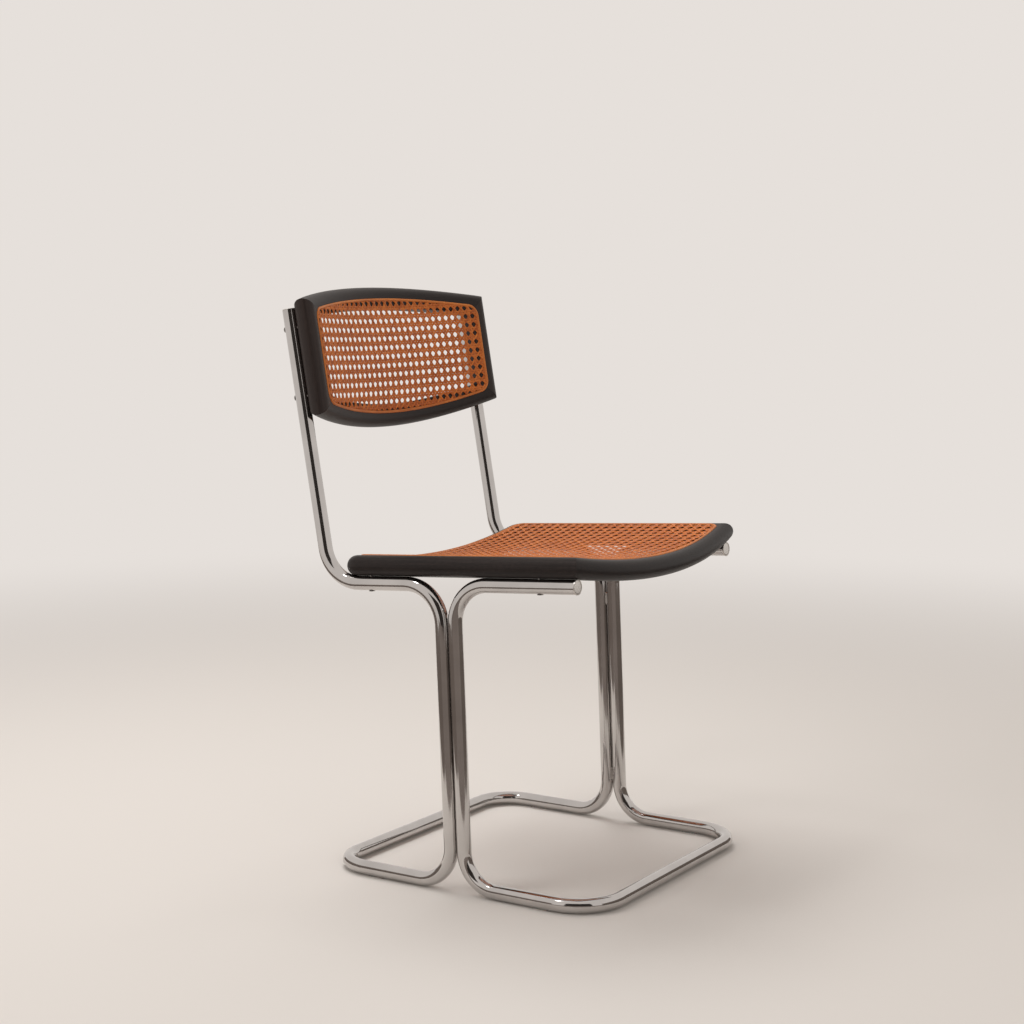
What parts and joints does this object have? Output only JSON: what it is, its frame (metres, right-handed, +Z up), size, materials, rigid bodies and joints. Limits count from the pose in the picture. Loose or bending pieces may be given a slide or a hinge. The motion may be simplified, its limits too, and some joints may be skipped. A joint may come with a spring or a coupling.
{
  "type": "dining chair",
  "caption": "Dining chair on bent chrome tubing, with a dished woven cane seat and a curved woven cane backrest in black lacquered wooden frames.",
  "frame": {"origin": "on the floor, under the middle of the chair's outline", "axes": "+Z up, the sitter faces -Y, +X to the sitter's left"},
  "size_m": [0.46, 0.5394, 0.8236],
  "materials": {
    "chromed_tube": "mirror-bright chrome plate",
    "chromed_weld": "plated over a weld bead",
    "stopper": "satin metal",
    "glide": "moulded nylon",
    "lacquered_wood": "satin black lacquer",
    "dowel_wood": "bare beech",
    "woven_cane": "varnished cane weave",
    "reed_spline": "varnished reed cord",
    "screw_steel": "plated screw steel"
  },
  "bodies": {
    "root": {"rear_tube": "chromed_tube", "front_tube": "chromed_tube", "leg_weld_top_left": "chromed_weld", "leg_weld_top_right": "chromed_weld", "leg_weld_foot_left": "chromed_weld", "leg_weld_foot_right": "chromed_weld", "end_cap_left": "stopper", "end_cap_right": "stopper", "upright_plug_left": "stopper", "upright_plug_right": "stopper", "glide_front_left": "glide", "glide_front_right": "glide", "glide_rear_left": "glide", "glide_rear_right": "glide", "seat_front_rail": "lacquered_wood", "seat_rear_rail": "lacquered_wood", "seat_side_rail_left": "lacquered_wood", "seat_side_rail_right": "lacquered_wood", "seat_dowel_1": "dowel_wood", "seat_dowel_2": "dowel_wood", "seat_dowel_3": "dowel_wood", "seat_dowel_4": "dowel_wood", "seat_cane": "woven_cane", "seat_spline": "reed_spline", "back_bottom_rail": "lacquered_wood", "back_top_rail": "lacquered_wood", "back_side_rail_left": "lacquered_wood", "back_side_rail_right": "lacquered_wood", "back_dowel_1": "dowel_wood", "back_dowel_2": "dowel_wood", "back_dowel_3": "dowel_wood", "back_dowel_4": "dowel_wood", "back_cane": "woven_cane", "back_spline": "reed_spline", "seat_screw_front_left": "screw_steel", "seat_screw_front_right": "screw_steel", "seat_screw_rear_left": "screw_steel", "seat_screw_rear_right": "screw_steel", "back_screw_lower_left": "screw_steel", "back_screw_lower_right": "screw_steel", "back_screw_upper_left": "screw_steel", "back_screw_upper_right": "screw_steel"}
  },
  "joints": []
}
